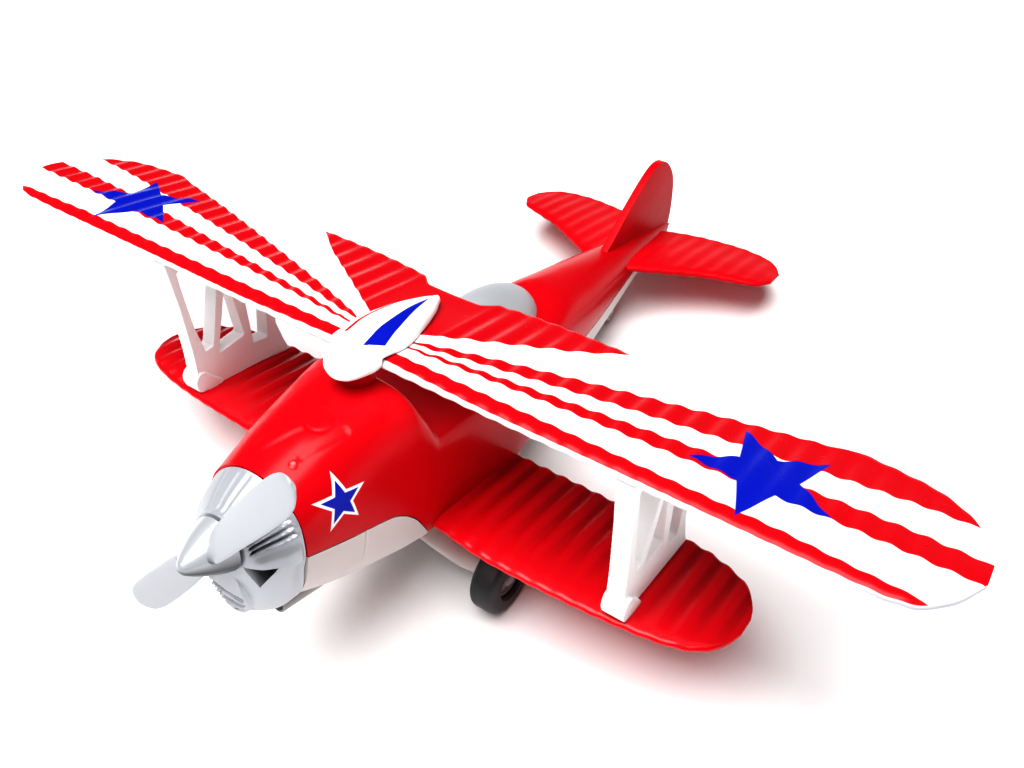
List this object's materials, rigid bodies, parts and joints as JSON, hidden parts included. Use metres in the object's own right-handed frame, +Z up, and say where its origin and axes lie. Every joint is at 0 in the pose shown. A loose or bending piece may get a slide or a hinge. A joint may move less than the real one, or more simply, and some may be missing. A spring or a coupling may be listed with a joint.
{
  "type": "toy aerobatic biplane",
  "caption": "Die-cast toy aerobatic biplane with a lobed engine cowl, paddle-bladed propeller, ribbed wings, braced interplane struts and tail-wheel undercarriage.",
  "frame": {"origin": "centre of the parked toy's bounding box, on the floor", "axes": "+X to the toy's port wing tip, the nose points towards -Y, +Z up; the airframe sits 18.5 degrees nose up on its wheels"},
  "size_m": [0.2144, 0.1736, 0.0799],
  "materials": {
    "red_enamel": "gloss",
    "red_plastic": "gloss",
    "white_plastic": "gloss",
    "silver_plastic": "metallic silver paint",
    "beige_plastic": "satin",
    "black_tyre": "matte",
    "bright_steel": "drawn"
  },
  "bodies": {
    "airframe": {"belly_pan": "beige_plastic", "canopy": "silver_plastic", "engine_cowl": "silver_plastic", "exhaust_port": "beige_plastic", "exhaust_starboard": "beige_plastic", "fuselage_shell": "red_enamel", "gear_leg_port": "beige_plastic", "gear_leg_starboard": "beige_plastic", "lower_wing_port": "red_plastic", "lower_wing_starboard": "red_plastic", "strut_port": "white_plastic", "strut_starboard": "white_plastic", "tail_fork": "beige_plastic", "tail_wheel_pin": "bright_steel", "upper_wing": "white_plastic", "wing_fairing": "white_plastic", "wing_pylon": "red_enamel"},
    "propeller_rotor": {"propeller": "silver_plastic"},
    "main_wheels": {"tyre_port": "black_tyre", "tyre_starboard": "black_tyre", "wheel_axle": "bright_steel", "wheel_hub_port": "silver_plastic", "wheel_hub_starboard": "silver_plastic"},
    "tail_wheel_body": {"tail_wheel": "black_tyre"}
  },
  "joints": [
    {"name": "propeller_spin", "type": "hinge", "parent": "airframe", "child": "propeller_rotor", "pos_m": [0, -0.07839, 0.0554], "axis": [0, -0.9483, 0.3173], "continuous": true},
    {"name": "main_wheels_roll", "type": "hinge", "parent": "airframe", "child": "main_wheels", "pos_m": [0, -0.03598, 0.0082], "axis": [1, 0, 0], "continuous": true},
    {"name": "tail_wheel_roll", "type": "hinge", "parent": "airframe", "child": "tail_wheel_body", "pos_m": [0, 0.04799, 0.0026], "axis": [1, 0, 0], "continuous": true}
  ]
}
